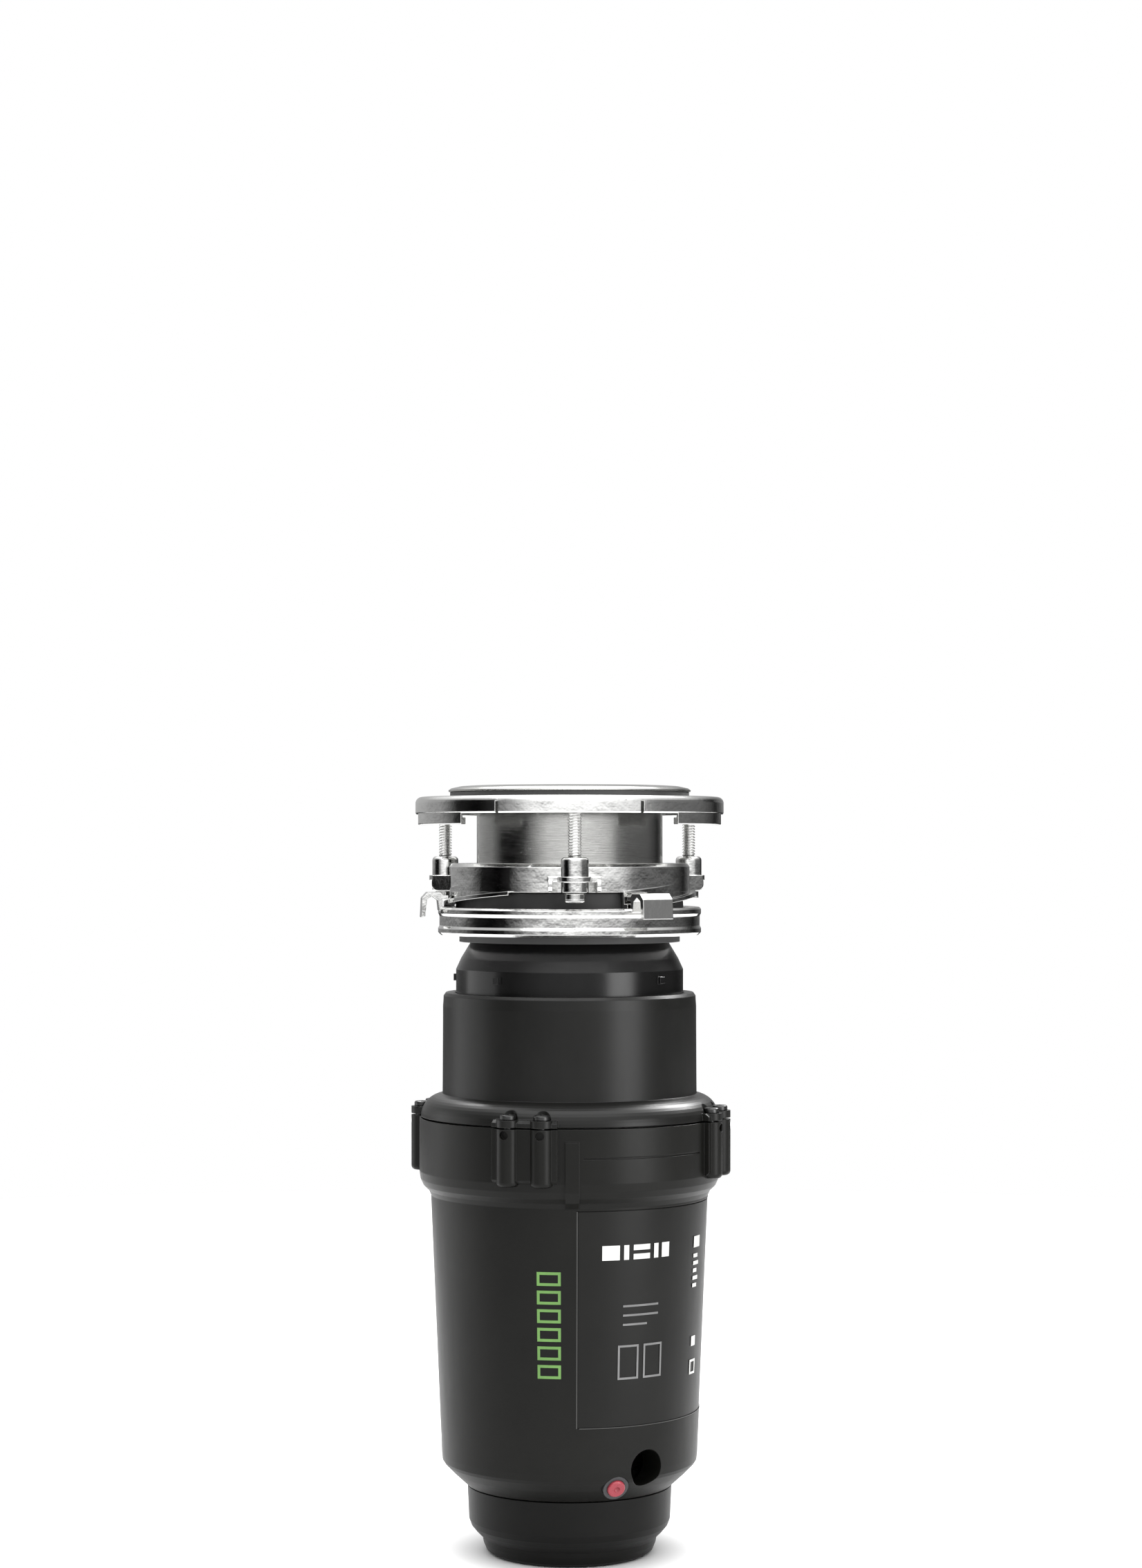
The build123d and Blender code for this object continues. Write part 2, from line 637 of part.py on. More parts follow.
def upper_shell():
    """Glossy upper housing from the shoulder to the ledge round the neck."""
    arc_outer = [(57.2 + 9.9 * cos(radians(a)), 196.4 + 9.9 * sin(radians(a))) for a in range(0, 90, 9)]
    arc_inner = [(57.2 + 7.3 * cos(radians(a)), 196.4 + 7.3 * sin(radians(a))) for a in range(81, -1, -9)]
    shell = turned(
        arc_outer
        + [(57.4, 206.6), (57.2, 246.0), (56.9, 250.6), (55.9, 252.0), (51.8, 252.0),
           (51.8, 249.6), (54.4, 249.6), (54.8, 206.6)]
        + arc_inner
    )
    shell = joined([shell] + around(upper_lug, LUG_AZIMUTHS))
    shell = shell - rod(64.4, 190, 199.9)
    shell = shell - spoke(SPOUT_RADIUS + 2.0, SPOUT_AZIMUTH, SPOUT_HEIGHT, 50.0, 70.0)
    shell = shell - spoke(OUTLET_BORE + 3.6, OUTLET_AZIMUTH, OUTLET_HEIGHT, 56.0, 90.0)
    for azimuth in lug_screw_azimuths():
        shell = shell - place(LUG_SCREW_CIRCLE, azimuth, 0) * rod(2.2, 190, 205)
        shell = shell - place(LUG_SCREW_CIRCLE, azimuth, 0) * rod(4.1, 199.6, 206)
    return shell


def housing_screws():
    """Eight screws that hold the two shells together."""
    screws = []
    for azimuth in lug_screw_azimuths():
        head = fillet(rod(3.6, 199.7, 201.9).edges().group_by(Axis.Z)[-1], 0.9)
        screw = rod(1.6, 177.0, 199.8) + head
        screw = screw - Pos(0, 0, 202) * Box(4, 0.9, 2.2) - Pos(0, 0, 202) * Box(0.9, 4, 2.2)
        screws.append(place(LUG_SCREW_CIRCLE, azimuth, 0) * screw)
    return group(screws)


def wall_radius(height):
    """Outer radius of the tapered wall of the lower shell."""
    share = (height - 45.0) / (COLLAR_BOTTOM - 45.0)
    return 57.7 + (SHELL_TOP_RADIUS - 57.7) * share


def wall_band(low, high, inset, thickness, start, end):
    """Thin conical sheet that follows the tapered wall."""
    return turned(
        [
            (wall_radius(low) - inset - thickness, low), (wall_radius(low) - inset, low),
            (wall_radius(high) - inset, high), (wall_radius(high) - inset - thickness, high),
        ],
        0, start, end,
    )


def label_recess():
    """Shallow panel pressed into the right side of the wall."""
    return wall_band(65.0, 160.0, -0.5, 1.1, 3.0, 98.0)


def label_panel():
    """Blank label sheet in the shallow panel."""
    return wall_band(65.4, 159.6, 0.2, 0.35, 3.3, 97.7)


nodes = {
    "sink_flange": sink_flange(),
    "flange_gasket": flange_gasket(),
    "backup_ring": backup_ring(),
    "snap_ring": snap_ring(),
    "upper_mounting_ring": upper_mounting_ring(),
    "mounting_screw_front": mounting_screw(SCREW_AZIMUTHS["front"]),
    "mounting_screw_right": mounting_screw(SCREW_AZIMUTHS["right"]),
    "mounting_screw_left": mounting_screw(SCREW_AZIMUTHS["left"]),
    "lower_mounting_ring": lower_mounting_ring(),
    "mounting_gasket": mounting_gasket(),
    "splash_guard": splash_guard(),
    "grind_chamber": grind_chamber(),
    "inlet_plug": inlet_plug(),
    "grind_ring": grind_ring(),
    "chamber_seal": chamber_seal(),
    "drain_chamber": drain_chamber(),
    "upper_end_bracket": upper_end_bracket(),
    "shaft_seal": shaft_seal(),
    "upper_bearing": upper_bearing(),
    "turntable": turntable(),
    "turntable_nut": turntable_nut(),
    "impeller_right": impeller(90),
    "impeller_left": impeller(270),
    "impeller_rivets": impeller_rivets(),
    "motor_shaft": motor_shaft(),
    "rotor_core": rotor_core(),
    "rotor_end_rings": rotor_end_rings(),
    "start_switch": start_switch(),
    "stator_core": stator_core(),
    "stator_windings": stator_windings(),
    "lower_end_bracket": lower_end_bracket(),
    "lower_bearing": lower_bearing(),
    "thrust_washer": thrust_washer(),
    "through_bolts": through_bolts(),
    "start_relay": start_relay(),
    "start_capacitor": capacitor(),
    "overload_protector": overload_protector(),
    "reset_button": reset_button(),
    "bottom_cap": bottom_cap(),
    "bottom_screws": bottom_screws(),
    "ground_screw": ground_screw(),
    "motor_shell": motor_shell(),
    "upper_shell": upper_shell(),
    "housing_screws": housing_screws(),
    "label_panel": label_panel(),
}

os.makedirs("parts", exist_ok=True)
for name, shape in nodes.items():
    export_step(shape, "parts/" + name + ".step")
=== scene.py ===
import json
from math import asin, cos, pi, radians, sin

import bmesh
import bpy
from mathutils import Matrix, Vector


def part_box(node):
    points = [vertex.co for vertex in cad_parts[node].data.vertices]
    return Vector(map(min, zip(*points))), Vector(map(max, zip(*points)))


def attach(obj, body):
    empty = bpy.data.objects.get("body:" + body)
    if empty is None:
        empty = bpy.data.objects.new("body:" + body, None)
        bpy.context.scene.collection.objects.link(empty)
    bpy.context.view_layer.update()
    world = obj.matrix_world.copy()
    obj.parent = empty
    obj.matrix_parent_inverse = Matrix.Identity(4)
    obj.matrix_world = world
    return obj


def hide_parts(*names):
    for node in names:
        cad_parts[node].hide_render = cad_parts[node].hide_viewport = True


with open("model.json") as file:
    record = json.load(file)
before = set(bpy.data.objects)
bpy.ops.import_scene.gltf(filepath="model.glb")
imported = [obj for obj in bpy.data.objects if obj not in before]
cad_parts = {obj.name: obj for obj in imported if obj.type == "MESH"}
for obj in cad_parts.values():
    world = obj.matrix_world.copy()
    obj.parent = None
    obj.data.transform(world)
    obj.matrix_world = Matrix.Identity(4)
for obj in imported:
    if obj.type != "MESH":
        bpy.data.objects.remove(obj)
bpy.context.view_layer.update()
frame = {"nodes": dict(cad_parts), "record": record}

NODES = frame["nodes"]
MM = 0.001


# ---------------------------------------------------------------- materials

class Graph:
    """Small helper that builds a node material around one Principled shader."""

    def __init__(self, name):
        self.material = bpy.data.materials.new(name)
        self.material.use_nodes = True
        self.tree = self.material.node_tree
        self.tree.nodes.clear()
        self.shader = self.add("ShaderNodeBsdfPrincipled")
        output = self.add("ShaderNodeOutputMaterial")
        self.link(self.shader.outputs[0], output.inputs[0])
        self.place = self.add("ShaderNodeTexCoord").outputs["Object"]

    def add(self, kind, **settings):
        node = self.tree.nodes.new(kind)
        for key, value in settings.items():
            setattr(node, key, value)
        return node

    def link(self, source, target):
        self.tree.links.new(source, target)

    def math(self, operation, first, second=0.0, clamp=False):
        node = self.add("ShaderNodeMath", operation=operation, use_clamp=clamp)
        for index, value in enumerate((first, second)):
            if isinstance(value, (int, float)):
                node.inputs[index].default_value = value
            else:
                self.link(value, node.inputs[index])
        return node.outputs[0]

    def noise(self, scale, detail=4.0, roughness=0.5, stretch=None, vector=None):
        source = vector or self.place
        if stretch:
            mapping = self.add("ShaderNodeMapping")
            mapping.inputs["Scale"].default_value = stretch
            self.link(source, mapping.inputs["Vector"])
            source = mapping.outputs[0]
        node = self.add("ShaderNodeTexNoise")
        node.inputs["Scale"].default_value = scale
        node.inputs["Detail"].default_value = detail
        node.inputs["Roughness"].default_value = roughness
        self.link(source, node.inputs["Vector"])
        return node.outputs["Fac"]

    def ramp(self, value, low, high, out_low, out_high):
        node = self.add("ShaderNodeMapRange")
        for index, number in enumerate((low, high, out_low, out_high), start=1):
            node.inputs[index].default_value = number
        self.link(value, node.inputs[0])
        return node.outputs[0]

    def mix(self, factor, first, second):
        node = self.add("ShaderNodeMix", data_type="RGBA")
        self.link(factor, node.inputs[0])
        for index, value in ((6, first), (7, second)):
            if isinstance(value, tuple):
                node.inputs[index].default_value = (*value, 1.0)
            else:
                self.link(value, node.inputs[index])
        return node.outputs[2]

    def edges(self, radius):
        """Mask of worn edges, and the rounded normal that it comes from."""
        bevel = self.add("ShaderNodeBevel", samples=6)
        bevel.inputs["Radius"].default_value = radius
        geometry = self.add("ShaderNodeNewGeometry")
        dot = self.add("ShaderNodeVectorMath", operation="DOT_PRODUCT")
        self.link(bevel.outputs[0], dot.inputs[0])
        self.link(geometry.outputs["Normal"], dot.inputs[1])
        mask = self.ramp(dot.outputs["Value"], 0.995, 0.90, 0.0, 1.0)
        return mask, bevel.outputs[0]

    def bump(self, layers, normal=None):
        """Bumps stacked on one another: (height, distance in metres, strength)."""
        for height, distance, strength in layers:
            node = self.add("ShaderNodeBump")
            node.inputs["Strength"].default_value = strength
            node.inputs["Distance"].default_value = distance
            self.link(height, node.inputs["Height"])
            if normal is not None:
                self.link(normal, node.inputs["Normal"])
            normal = node.outputs[0]
        self.link(normal, self.shader.inputs["Normal"])

    def cylinder_place(self, along, across):
        """Coordinates that run round the Z axis, for circular brushing."""
        split = self.add("ShaderNodeSeparateXYZ")
        self.link(self.place, split.inputs[0])
        x, y, z = split.outputs
        angle = self.math("ARCTAN2", y, x)
        radius = self.math("SQRT", self.math("ADD", self.math("MULTIPLY", x, x), self.math("MULTIPLY", y, y)))
        join = self.add("ShaderNodeCombineXYZ")
        self.link(self.math("MULTIPLY", angle, along), join.inputs[0])
        self.link(self.math("MULTIPLY", radius, across), join.inputs[1])
        self.link(self.math("MULTIPLY", z, across), join.inputs[2])
        return join.outputs[0]


def plastic(name, color, roughness, spread=0.08, grain=0.00004, wear=0.35, level=0.4):
    """Moulded plastic with a fine spark-eroded grain, flow mottling and lighter edges."""
    g = Graph(name)
    flow = g.noise(28.0, 3.0, 0.6)
    fine = g.noise(2600.0, 2.0, 0.5)
    scuff = g.noise(160.0, 5.0, 0.7, stretch=(1.0, 1.0, 0.25))
    dark = tuple(c * 0.82 for c in color)
    light = tuple(min(1.0, c * 1.22 + 0.0006) for c in color)
    mask, rounded = g.edges(0.0005)
    base = g.mix(g.ramp(flow, 0.3, 0.7, 0.0, 1.0), dark, light)
    edge_color = tuple(min(1.0, c * 1.9 + 0.012) for c in color)
    worn = g.math("MULTIPLY", mask, g.ramp(scuff, 0.35, 0.7, 0.2 * wear, wear))
    g.link(g.mix(worn, base, edge_color), g.shader.inputs["Base Color"])
    rough = g.math("ADD", g.ramp(scuff, 0.3, 0.75, roughness - spread, roughness + spread),
                   g.math("MULTIPLY", g.math("SUBTRACT", fine, 0.5), 0.10))
    g.link(rough, g.shader.inputs["Roughness"])
    g.shader.inputs["IOR"].default_value = 1.5
    g.shader.inputs["Specular IOR Level"].default_value = level
    g.bump([(fine, grain, 0.55), (flow, 0.0004, 0.05)], rounded)
    return g.material


def plated(name, color, roughness, ripple=0.0003, wear=0.4, brushed=0.0, dirt=0.25):
    """Bright plated or polished metal with soft ripples, faint hairlines and dull patches."""
    g = Graph(name)
    g.shader.inputs["Metallic"].default_value = 1.0
    patch = g.noise(60.0, 4.0, 0.6)
    hair = g.noise(1.0, 3.0, 0.6, vector=g.cylinder_place(6.0, 4200.0))
    spots = g.noise(900.0, 2.0, 0.5)
    mask, rounded = g.edges(0.0005)
    dull = tuple(c * 0.78 for c in color)
    base = g.mix(g.ramp(patch, 0.35, 0.7, 0.0, dirt), color, dull)
    bright = tuple(min(1.0, c * 1.12) for c in color)
    g.link(g.mix(g.math("MULTIPLY", mask, wear), base, bright), g.shader.inputs["Base Color"])
    rough = g.math("ADD", g.ramp(patch, 0.3, 0.75, roughness * 0.75, roughness * 1.35),
                   g.math("MULTIPLY", g.math("SUBTRACT", hair, 0.5), 0.12 + brushed * 0.25))
    g.link(g.math("ADD", rough, g.ramp(spots, 0.62, 0.75, 0.0, 0.06)), g.shader.inputs["Roughness"])
    g.bump([(patch, ripple, 0.25), (hair, 0.00002 + brushed * 0.00005, 0.35)], rounded)
    return g.material


def rubber(name, color):
    """Soft black rubber with bloom, fine pits and mould lines."""
    g = Graph(name)
    bloom = g.noise(90.0, 4.0, 0.65)
    pits = g.noise(2200.0, 3.0, 0.6)
    mask, rounded = g.edges(0.0006)
    light = tuple(c * 1.8 + 0.01 for c in color)
    base = g.mix(g.ramp(bloom, 0.35, 0.75, 0.0, 0.7), color, light)
    g.link(g.mix(g.math("MULTIPLY", mask, 0.3), base, light), g.shader.inputs["Base Color"])
    g.link(g.ramp(bloom, 0.3, 0.7, 0.50, 0.72), g.shader.inputs["Roughness"])
    g.bump([(pits, 0.00005, 0.5)], rounded)
    return g.material


def cast_metal(name, color, roughness, grain=900.0):
    """Cast or sintered metal with a sandy skin."""
    g = Graph(name)
    g.shader.inputs["Metallic"].default_value = 1.0
    sand = g.noise(grain, 4.0, 0.7)
    patch = g.noise(70.0, 3.0, 0.6)
    mask, rounded = g.edges(0.0004)
    dark = tuple(c * 0.7 for c in color)
    base = g.mix(g.ramp(patch, 0.3, 0.7, 0.0, 1.0), dark, color)
    bright = tuple(min(1.0, c * 1.25) for c in color)
    g.link(g.mix(g.math("MULTIPLY", mask, 0.6), base, bright), g.shader.inputs["Base Color"])
    g.link(g.ramp(sand, 0.3, 0.7, roughness - 0.08, roughness + 0.12), g.shader.inputs["Roughness"])
    g.bump([(sand, 0.00012, 0.6)], rounded)
    return g.material


def laminated(name):
    """Stacked electrical sheet, seen as fine level lines."""
    g = Graph(name)
    g.shader.inputs["Metallic"].default_value = 0.85
    wave = g.add("ShaderNodeTexWave", wave_type="BANDS", bands_direction="Z")
    wave.inputs["Scale"].default_value = 320.0
    wave.inputs["Distortion"].default_value = 0.4
    g.link(g.place, wave.inputs["Vector"])
    stain = g.noise(60.0, 4.0, 0.6)
    base = g.mix(g.ramp(stain, 0.3, 0.7, 0.0, 1.0), (0.16, 0.16, 0.17), (0.30, 0.29, 0.28))
    g.link(base, g.shader.inputs["Base Color"])
    g.link(g.ramp(stain, 0.3, 0.7, 0.38, 0.6), g.shader.inputs["Roughness"])
    g.bump([(wave.outputs["Fac"], 0.0001, 0.7)])
    return g.material


def wound_copper(name):
    """Enamelled winding wire laid side by side."""
    g = Graph(name)
    g.shader.inputs["Metallic"].default_value = 0.8
    wave = g.add("ShaderNodeTexWave", wave_type="BANDS", bands_direction="X")
    wave.inputs["Scale"].default_value = 1.0
    wave.inputs["Distortion"].default_value = 1.5
    g.link(g.cylinder_place(18.0, 900.0), wave.inputs["Vector"])
    tone = g.noise(120.0, 3.0, 0.6)
    base = g.mix(g.ramp(tone, 0.3, 0.7, 0.0, 1.0), (0.42, 0.16, 0.07), (0.70, 0.33, 0.15))
    g.link(base, g.shader.inputs["Base Color"])
    g.link(g.ramp(tone, 0.3, 0.7, 0.28, 0.45), g.shader.inputs["Roughness"])
    g.shader.inputs["Coat Weight"].default_value = 0.5
    g.bump([(wave.outputs["Fac"], 0.0003, 0.8)])
    return g.material


def ink(name, color, roughness=0.5):
    """Flat ink colour with slight unevenness, for print and for the painted highlight lines along the label's
    edges.
    """
    g = Graph(name)
    speck = g.noise(1800.0, 3.0, 0.6)
    fade = g.noise(90.0, 3.0, 0.6)
    dim = tuple(c * 0.8 for c in color)
    g.link(g.mix(g.ramp(fade, 0.3, 0.7, 0.0, 1.0), dim, color), g.shader.inputs["Base Color"])
    g.link(g.ramp(speck, 0.3, 0.7, roughness - 0.1, roughness + 0.1), g.shader.inputs["Roughness"])
    g.bump([(speck, 0.00002, 0.4)])
    return g.material


LOOKS = {
    "flange_steel": plated("flange_steel", (0.56, 0.56, 0.545), 0.17, brushed=0.5),
    "gasket_fibre": rubber("gasket_fibre", (0.02, 0.02, 0.02)),
    "mount_zinc": plated("mount_zinc", (0.74, 0.74, 0.73), 0.10, ripple=0.0009),
    "screw_zinc": plated("screw_zinc", (0.62, 0.62, 0.61), 0.14),
    "black_rubber": rubber("black_rubber", (0.012, 0.012, 0.012)),
    "neck_plastic": plastic("neck_plastic", (0.0035, 0.0035, 0.0035), 0.24, spread=0.02, grain=0.00001,
                            level=0.26),
    "upper_plastic": plastic("upper_plastic", (0.0042, 0.0042, 0.0038), 0.36, spread=0.02, grain=0.00002,
                             level=0.20),
    "lower_plastic": plastic("lower_plastic", (0.0040, 0.0040, 0.0034), 0.38, spread=0.03, level=0.15),
    "cap_plastic": plastic("cap_plastic", (0.0030, 0.0030, 0.0027), 0.40, spread=0.03, level=0.12),
    "chamber_plastic": plastic("chamber_plastic", (0.04, 0.04, 0.04), 0.48),
    "stainless": plated("stainless", (0.58, 0.58, 0.57), 0.26, brushed=0.8),
    "shaft_steel": plated("shaft_steel", (0.52, 0.52, 0.52), 0.20, brushed=0.5),
    "lamination": laminated("lamination"),
    "copper": wound_copper("copper"),
    "cast_aluminium": cast_metal("cast_aluminium", (0.58, 0.58, 0.58), 0.42),
    "bronze": cast_metal("bronze", (0.50, 0.34, 0.17), 0.40, grain=2500.0),
    "black_screw": plated("black_screw", (0.05, 0.05, 0.05), 0.35),
    "relay_plastic": plastic("relay_plastic", (0.03, 0.03, 0.032), 0.42),
    "capacitor_can": plated("capacitor_can", (0.55, 0.55, 0.56), 0.30),
    "red_plastic": plastic("red_plastic", (0.24, 0.030, 0.042), 0.30, spread=0.05, wear=0.2),
    "green_screw": plated("green_screw", (0.07, 0.28, 0.10), 0.32),
    "label_film": plastic("label_film", (0.0036, 0.0036, 0.0031), 0.38, spread=0.03, grain=0.00001, wear=0.1,
                          level=0.18),
}

SLOT_OF = {entry["node"]: entry["material_slot"] for entry in frame["record"]["subparts"]}
for node_name, part in NODES.items():
    look = LOOKS[SLOT_OF[node_name]]
    if not part.material_slots:
        part.data.materials.append(look)
    for entry in part.material_slots:
        entry.material = look


# ---------------------------------------------------------- mounting screws

THREAD_PITCH = 1.27
THREAD_DEPTH = 0.62
SHANK_RADIUS = 2.98
HEAD_RADIUS = 4.55
HEAD_HEIGHT = 4.0
SLOT_DEPTH = 1.4
SLOT_HALF_WIDTH = 0.6


def tube_of_rows(mesh, rows):
    """Closed skin over rows of points that all have the same count."""
    count = len(rows[0])
    rings = [[mesh.verts.new(point) for point in row] for row in rows]
    for lower, upper in zip(rings, rings[1:]):
        for index in range(count):
            after = (index + 1) % count
            mesh.faces.new((lower[index], lower[after], upper[after], upper[index]))
    mesh.faces.new(list(reversed(rings[0])))
    mesh.faces.new(rings[-1])


def threaded_rows(foot, tip, sides=28, steps=8):
    """Rows of a threaded shank: a V-shaped groove that climbs one pitch per turn."""
    rows = []
    count = int((tip - foot) / THREAD_PITCH * steps)
    for step in range(count + 1):
        z = foot + (tip - foot) * step / count
        lead_in = min(1.0, 0.72 + 0.28 * (tip - z) / 1.2)
        row = []
        for side in range(sides):
            share = side / sides
            groove = abs(2 * ((z / THREAD_PITCH - share) % 1.0) - 1.0)
            radius = (SHANK_RADIUS - THREAD_DEPTH * max(0.0, groove - 0.15)) * lead_in
            row.append((radius * cos(2 * pi * share), radius * sin(2 * pi * share), z))
        rows.append(row)
    return rows


def disc_rows(radius, levels, start=0.0, end=2 * pi, sides=40):
    """Rows of a round or part-round disc, from (height, inset) levels."""
    whole = end - start > 6.28
    count = sides if whole else sides + 1
    rows = []
    for z, inset in levels:
        row = []
        for index in range(count):
            angle = start + (end - start) * index / sides
            row.append(((radius - inset) * cos(angle), (radius - inset) * sin(angle), z))
        rows.append(row)
    return rows


def finished(name, mesh, look, crease=35):
    """Object from a mesh in metres, smooth but for its sharp edges."""
    bmesh.ops.recalc_face_normals(mesh, faces=mesh.faces)
    for face in mesh.faces:
        face.smooth = True
    for edge in mesh.edges:
        edge.smooth = edge.calc_face_angle(0.0) < radians(crease)
    data = bpy.data.meshes.new(name)
    mesh.to_mesh(data)
    mesh.free()
    piece = bpy.data.objects.new(name, data)
    bpy.context.collection.objects.link(piece)
    data.materials.append(look)
    return piece


def threaded_screw(node, body):
    """Slotted screw with a real thread, in the place of the plain one."""
    low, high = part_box(node)
    foot, tip = low[2] / MM, high[2] / MM
    shoulder = foot + HEAD_HEIGHT
    mesh = bmesh.new()
    tube_of_rows(mesh, threaded_rows(shoulder - 0.1, tip))
    cap = [(foot + SLOT_DEPTH, 0.0), (shoulder - 0.35, 0.0), (shoulder, 0.35)]
    tube_of_rows(mesh, disc_rows(HEAD_RADIUS, cap))
    cut = asin(SLOT_HALF_WIDTH / HEAD_RADIUS)
    for turn in (0.0, pi):
        levels = [(foot, 0.9), (foot + 0.25, 0.35), (foot + 0.7, 0.0), (foot + SLOT_DEPTH, 0.0)]
        tube_of_rows(mesh, disc_rows(HEAD_RADIUS, levels, turn + cut, turn + pi - cut, 24))
    middle = Vector(((low[0] + high[0]) / 2, (low[1] + high[1]) / 2, 0.0))
    bmesh.ops.scale(mesh, vec=(MM, MM, MM), verts=mesh.verts)
    bmesh.ops.translate(mesh, vec=middle, verts=mesh.verts)
    piece = finished("threaded_" + node, mesh, LOOKS["screw_zinc"])
    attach(piece, body)
    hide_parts(node)


for side in ("front", "right", "left"):
    threaded_screw("mounting_screw_" + side, side + "_screw")


# ------------------------------------------------------------- printed marks, and painted highlight lines on the label's edges

# The lower shell's tapered wall: radius and height at its foot and at its top, in millimetres
WALL_FOOT = (57.7, 45.0)
WALL_TOP = (62.6, 161.0)
PRINT_THICKNESS = 0.08


def wall_radius(height):
    """Outer radius of the lower shell's tapered wall at a height, in millimetres."""
    share = (height - WALL_FOOT[1]) / (WALL_TOP[1] - WALL_FOOT[1])
    return WALL_FOOT[0] + (WALL_TOP[0] - WALL_FOOT[0]) * share


def printed(name, look, azimuth, height, outlines, lift):
    """Thin sheet that follows the wall, from outlines in millimetres round its centre: print, and painted
    highlight lines.
    """
    mesh = bmesh.new()
    for outline in outlines:
        for cell in slab(outline):
            corners = []
            for u, v in cell:
                z = height + v
                radius = wall_radius(z) + lift
                angle = radians(azimuth) + u / wall_radius(height)
                corners.append(mesh.verts.new((radius * MM * sin(angle), -radius * MM * cos(angle), z * MM)))
            mesh.faces.new(corners)
    bmesh.ops.remove_doubles(mesh, verts=mesh.verts, dist=1e-7)
    data = bpy.data.meshes.new(name)
    mesh.to_mesh(data)
    mesh.free()
    piece = bpy.data.objects.new(name, data)
    bpy.context.collection.objects.link(piece)
    data.materials.append(look)
    solid = piece.modifiers.new("thickness", "SOLIDIFY")
    solid.thickness = PRINT_THICKNESS * MM
    solid.offset = 1.0
    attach(piece, "housing")
    return piece


def slab(outline):
    """Cells of an upright rectangle: (u0, v0, u1, v1)."""
    u0, v0, u1, v1 = outline
    steps = max(1, int(abs(u1 - u0) / 1.2) + 1)
    cells = []
    for index in range(steps):
        a = u0 + (u1 - u0) * index / steps
        b = u0 + (u1 - u0) * (index + 1) / steps
        cells.append([(a, v0), (b, v0), (b, v1), (a, v1)])
    return cells


def hollow(u0, v0, u1, v1, line):
    """Four bars round an empty rectangle."""
    return [
        (u0, v0, u1, v0 + line), (u0, v1 - line, u1, v1),
        (u0, v0 + line, u0 + line, v1 - line), (u1 - line, v0 + line, u1, v1 - line),
    ]


def ladder(count, low, step):
    """Column of equal hollow rectangles."""
    outlines = []
    for index in range(count):
        foot = low + step * index
        outlines += hollow(-5.2, foot, 5.2, foot + 6.0, 1.2)
    return outlines


WHITE_INK = ink("white_ink", (0.80, 0.80, 0.78))
GREY_INK = ink("grey_ink", (0.20, 0.20, 0.20))
GREEN_INK = ink("green_ink", (0.12, 0.27, 0.06))
# painted highlight: a lighter grey for thin lines along the label's edges, standing in for light caught by
# its raised edge
PANEL_EDGE_HIGHLIGHT = ink("panel_edge_highlight", (0.035, 0.035, 0.033), 0.4)

printed("mark_bars", WHITE_INK, 29.0, 141.5,
        [(-17, -3.2, -9, 3.2), (-7, -3.2, -4.6, 3.2), (-2.4, -3.2, 6, -0.8),
         (-2.4, 0.8, 6, 3.2), (8.2, -3.2, 10.6, 3.2), (12.6, -3.2, 17, 3.2)], 0.02)
printed("mark_frame_upper", GREY_INK, 31.0, 114.0,
        [(-9, 3.6, 9, 4.5), (-9, -0.45, 9, 0.45), (-9, -4.5, 3, -3.6)], 0.02)
printed("mark_frame_lower", GREY_INK, 31.0, 93.5,
        hollow(-11.0, -7.5, -1.0, 7.5, 0.9) + hollow(1.5, -7.5, 11.5, 7.5, 0.9), 0.02)
# painted highlight lines on the label's left edge and along its foot, where its raised edge catches light
printed("panel_side_highlight", PANEL_EDGE_HIGHLIGHT, 3.0, 112.5, [(-0.25, -47.3, 0.25, 47.3)], 0.05)
printed("panel_foot_highlight", PANEL_EDGE_HIGHLIGHT, 50.0, 65.2, [(-47.0, -0.2, 47.0, 0.2)], 0.05)
printed("mark_side", GREEN_INK, -8.5, 110.5, ladder(6, -23.5, 8.1), 0.02)
printed("mark_column", WHITE_INK, 66.0, 128.0,
        [(-3.2, 12, 3.2, 17), (-3.2, 7.5, 1.2, 9.2), (-3.2, 4.2, 2.4, 5.9),
         (-3.2, 0.9, 0.6, 2.6), (-3.2, -2.4, 2.0, -0.7), (-3.2, -5.7, 1.0, -4.0)], 0.02)
printed("mark_column_low", WHITE_INK, 66.0, 96.0,
        [(-2.2, 0, 2.2, 4.4)] + hollow(-3.0, -12.5, 3.0, -6.0, 1.0), 0.02)


# --------------------------------------------------------- floor and light

def plain(name, color, roughness):
    """Plain studio paper with a faint tooth."""
    g = Graph(name)
    tooth = g.noise(300.0, 3.0, 0.6)
    dim = tuple(c * 0.985 for c in color)
    g.link(g.mix(tooth, dim, color), g.shader.inputs["Base Color"])
    g.shader.inputs["Roughness"].default_value = roughness
    return g.material


def studio_floor():
    """Round pale floor, level with the underside of the object."""
    mesh = bmesh.new()
    bmesh.ops.create_circle(mesh, cap_ends=True, segments=96, radius=1.5)
    bmesh.ops.translate(mesh, verts=mesh.verts, vec=(0, 0, -0.0002))
    data = bpy.data.meshes.new("studio_floor")
    mesh.to_mesh(data)
    mesh.free()
    floor = bpy.data.objects.new("studio_floor", data)
    bpy.context.collection.objects.link(floor)
    data.materials.append(plain("studio_paper", (0.86, 0.86, 0.86), 0.9))


# Brightness of the room seen in reflections, by azimuth in degrees: 0 is the front, positive to the right.
ROOM = [(-180, 0.50), (-140, 0.50), (-112, 0.40), (-92, 0.02), (-72, 0.0), (-58, 0.02), (-42, 0.60),
        (-26, 1.35), (0, 1.7), (30, 1.5), (50, 1.1), (62, 0.35), (75, 0.22), (112, 0.18), (140, 0.02),
        (165, 0.25), (180, 0.50)]


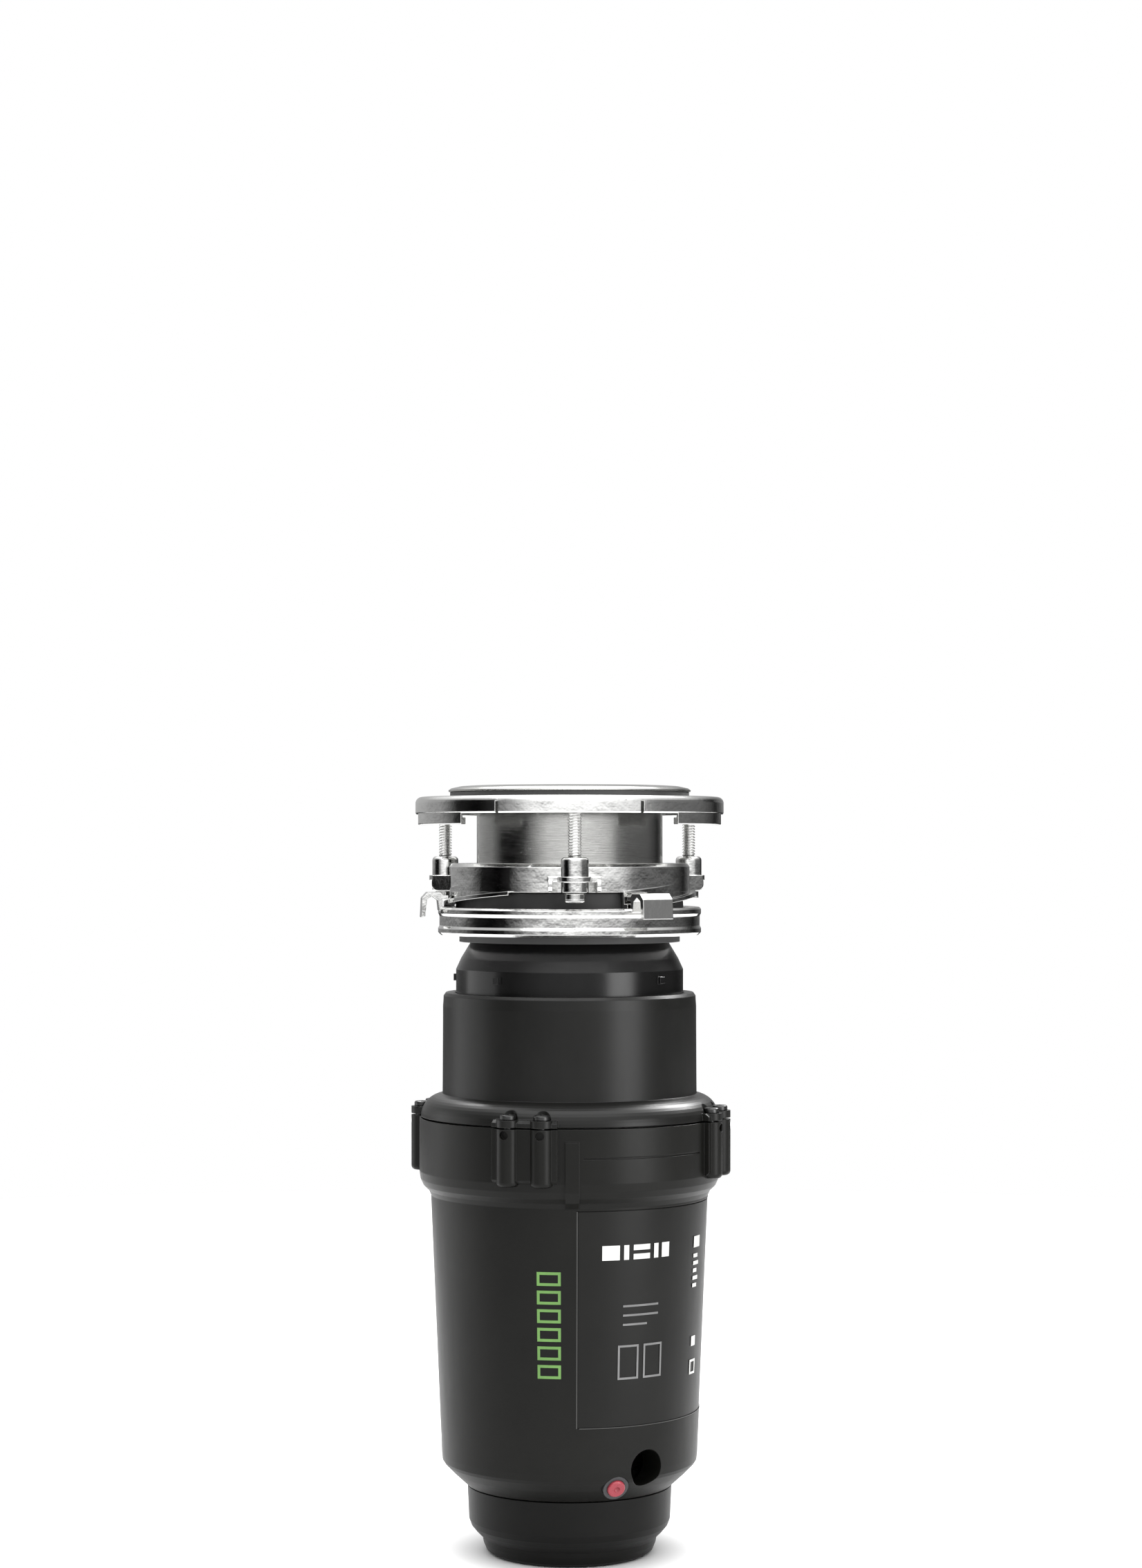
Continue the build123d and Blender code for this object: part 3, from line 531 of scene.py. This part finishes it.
def studio_air():
    """Pale surroundings to look at, and soft panels and dark gaps round the room in reflections."""
    world = bpy.data.worlds.new("studio_air")
    world.use_nodes = True
    tree = world.node_tree
    back = tree.nodes["Background"]

    def math(operation, first, second):
        node = tree.nodes.new("ShaderNodeMath")
        node.operation = operation
        for index, value in enumerate((first, second)):
            if isinstance(value, (int, float)):
                node.inputs[index].default_value = value
            else:
                tree.links.new(value, node.inputs[index])
        return node.outputs[0]

    def smooth(value, low, high, out_low, out_high):
        node = tree.nodes.new("ShaderNodeMapRange")
        node.interpolation_type = "SMOOTHSTEP"
        for index, number in enumerate((low, high, out_low, out_high), start=1):
            node.inputs[index].default_value = number
        tree.links.new(value, node.inputs[0])
        return node.outputs[0]

    split = tree.nodes.new("ShaderNodeSeparateXYZ")
    tree.links.new(tree.nodes.new("ShaderNodeTexCoord").outputs["Generated"], split.inputs[0])
    x, y, z = split.outputs
    turn = math("ARCTAN2", x, math("MULTIPLY", y, -1.0))
    ramp = tree.nodes.new("ShaderNodeValToRGB")
    stops = ramp.color_ramp.elements
    while len(stops) < len(ROOM):
        stops.new(0.5)
    for stop, (azimuth, level) in zip(stops, ROOM):
        stop.position = (azimuth + 180) / 360
        stop.color = (level, level, level, 1.0)
    tree.links.new(math("ADD", math("MULTIPLY", turn, 0.5 / pi), 0.5), ramp.inputs[0])
    walls = math("MULTIPLY", ramp.outputs[0], smooth(z, -0.07, 0.03, 0.12, 1.0))
    ceiling = smooth(z, 0.25, 0.75, 0.0, 0.8)
    path = tree.nodes.new("ShaderNodeLightPath")
    seen = math("MAXIMUM", math("ADD", walls, ceiling), path.outputs["Is Camera Ray"])
    back.inputs[0].default_value = (1.0, 1.0, 1.0, 1.0)
    tree.links.new(seen, back.inputs[1])
    bpy.context.scene.world = world


def softbox(name, place, target, size, power, lit=None):
    """Rectangular soft light aimed at a point, which lights everything or only one collection.

    Sizes and places are in metres, and power is in watts.
    """
    data = bpy.data.lights.new(name, "AREA")
    data.shape = "RECTANGLE"
    data.size, data.size_y = size
    data.energy = power
    light = bpy.data.objects.new(name, data)
    light.location = place
    light.rotation_euler = (Vector(target) - Vector(place)).to_track_quat("-Z", "Y").to_euler()
    bpy.context.collection.objects.link(light)
    if lit is not None:
        light.light_linking.receiver_collection = lit


def black_pieces():
    """Collection of everything but the bright metal, for the lights that would burn out on it."""
    metals = {"flange_steel", "mount_zinc", "screw_zinc"}
    group = bpy.data.collections.new("black_pieces")
    for name, part in NODES.items():
        if SLOT_OF[name] not in metals:
            group.objects.link(part)
    return group


studio_floor()
studio_air()
bpy.context.scene.view_settings.view_transform = "Standard"
BLACK = black_pieces()
softbox("right_strip", (1.02, -0.80, 0.25), (0, 0, 0.2), (0.62, 0.9), 13, BLACK)
softbox("left_strip", (-1.25, 0.25, 0.25), (0, 0, 0.2), (1.1, 0.9), 5, BLACK)
softbox("right_back_high", (0.75, 0.68, 1.10), (0, 0, 0.2), (0.40, 0.40), 24, BLACK)
softbox("left_high", (-0.30, 0.68, 1.15), (0, 0, 0.2), (0.40, 0.35), 13, BLACK)
softbox("top", (0.0, 0.1, 1.9), (0, 0, 0.0), (2.4, 2.4), 62)

camera_data = bpy.data.cameras.new("camera")
camera_data.lens = 71.4
camera_data.sensor_width = 36.0
camera_data.shift_x = 0.0009
camera_data.shift_y = 0.0423
camera = bpy.data.objects.new("camera", camera_data)
camera.location = (0.0, -1.406, 0.316)
camera.rotation_euler = (radians(90), 0, 0)
bpy.context.collection.objects.link(camera)
bpy.context.scene.camera = camera
